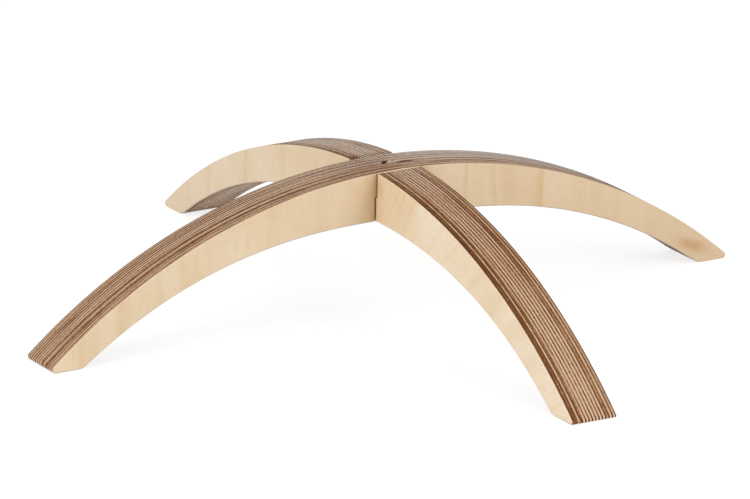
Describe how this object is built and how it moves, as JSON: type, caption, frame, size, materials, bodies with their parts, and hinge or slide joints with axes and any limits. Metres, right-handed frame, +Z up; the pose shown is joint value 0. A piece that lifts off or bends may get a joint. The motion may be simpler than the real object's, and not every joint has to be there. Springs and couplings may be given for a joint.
{
  "type": "tenor horn stand",
  "caption": "Low cross-shaped stand of plywood arches that plug together in a cross-lap joint, for a tenor horn that rests on its bell.",
  "frame": {"origin": "on the floor under the middle of the crossing", "axes": "+Z up, X along the upper arch, Y along the lower arch"},
  "size_m": [0.4662, 0.4662, 0.0898],
  "materials": {
    "face_veneer": "pale sanded birch face veneer",
    "long_grain_ply": "pale sanded veneer edge, cut along its grain",
    "cross_grain_ply": "dark sanded veneer edge, cut across its grain"
  },
  "bodies": {
    "lower_arch": {"lower_arch_ply_01_face": "face_veneer", "lower_arch_ply_02_long": "long_grain_ply", "lower_arch_ply_03_cross": "cross_grain_ply", "lower_arch_ply_04_long": "long_grain_ply", "lower_arch_ply_05_cross": "cross_grain_ply", "lower_arch_ply_06_long": "long_grain_ply", "lower_arch_ply_07_cross": "cross_grain_ply", "lower_arch_ply_08_long": "long_grain_ply", "lower_arch_ply_09_cross": "cross_grain_ply", "lower_arch_ply_10_long": "long_grain_ply", "lower_arch_ply_11_cross": "cross_grain_ply", "lower_arch_ply_12_long": "long_grain_ply", "lower_arch_ply_13_cross": "cross_grain_ply", "lower_arch_ply_14_long": "long_grain_ply", "lower_arch_ply_15_cross": "cross_grain_ply", "lower_arch_ply_16_long": "long_grain_ply", "lower_arch_ply_17_cross": "cross_grain_ply", "lower_arch_ply_18_long": "long_grain_ply", "lower_arch_ply_19_cross": "cross_grain_ply", "lower_arch_ply_20_long": "long_grain_ply", "lower_arch_ply_21_cross": "cross_grain_ply", "lower_arch_ply_22_long": "long_grain_ply", "lower_arch_ply_23_cross": "cross_grain_ply", "lower_arch_ply_24_long": "long_grain_ply", "lower_arch_ply_25_cross": "cross_grain_ply", "lower_arch_ply_26_long": "long_grain_ply", "lower_arch_ply_27_face": "face_veneer"},
    "upper_arch": {"upper_arch_ply_01_face": "face_veneer", "upper_arch_ply_02_long": "long_grain_ply", "upper_arch_ply_03_cross": "cross_grain_ply", "upper_arch_ply_04_long": "long_grain_ply", "upper_arch_ply_05_cross": "cross_grain_ply", "upper_arch_ply_06_long": "long_grain_ply", "upper_arch_ply_07_cross": "cross_grain_ply", "upper_arch_ply_08_long": "long_grain_ply", "upper_arch_ply_09_cross": "cross_grain_ply", "upper_arch_ply_10_long": "long_grain_ply", "upper_arch_ply_11_cross": "cross_grain_ply", "upper_arch_ply_12_long": "long_grain_ply", "upper_arch_ply_13_cross": "cross_grain_ply", "upper_arch_ply_14_long": "long_grain_ply", "upper_arch_ply_15_cross": "cross_grain_ply", "upper_arch_ply_16_long": "long_grain_ply", "upper_arch_ply_17_cross": "cross_grain_ply", "upper_arch_ply_18_long": "long_grain_ply", "upper_arch_ply_19_cross": "cross_grain_ply", "upper_arch_ply_20_long": "long_grain_ply", "upper_arch_ply_21_cross": "cross_grain_ply", "upper_arch_ply_22_long": "long_grain_ply", "upper_arch_ply_23_cross": "cross_grain_ply", "upper_arch_ply_24_long": "long_grain_ply", "upper_arch_ply_25_cross": "cross_grain_ply", "upper_arch_ply_26_long": "long_grain_ply", "upper_arch_ply_27_face": "face_veneer"}
  },
  "joints": [
    {"name": "lift_off", "type": "slide", "parent": "lower_arch", "child": "upper_arch", "axis": [0, 0, 1], "range_m": [0, 0.1]}
  ]
}
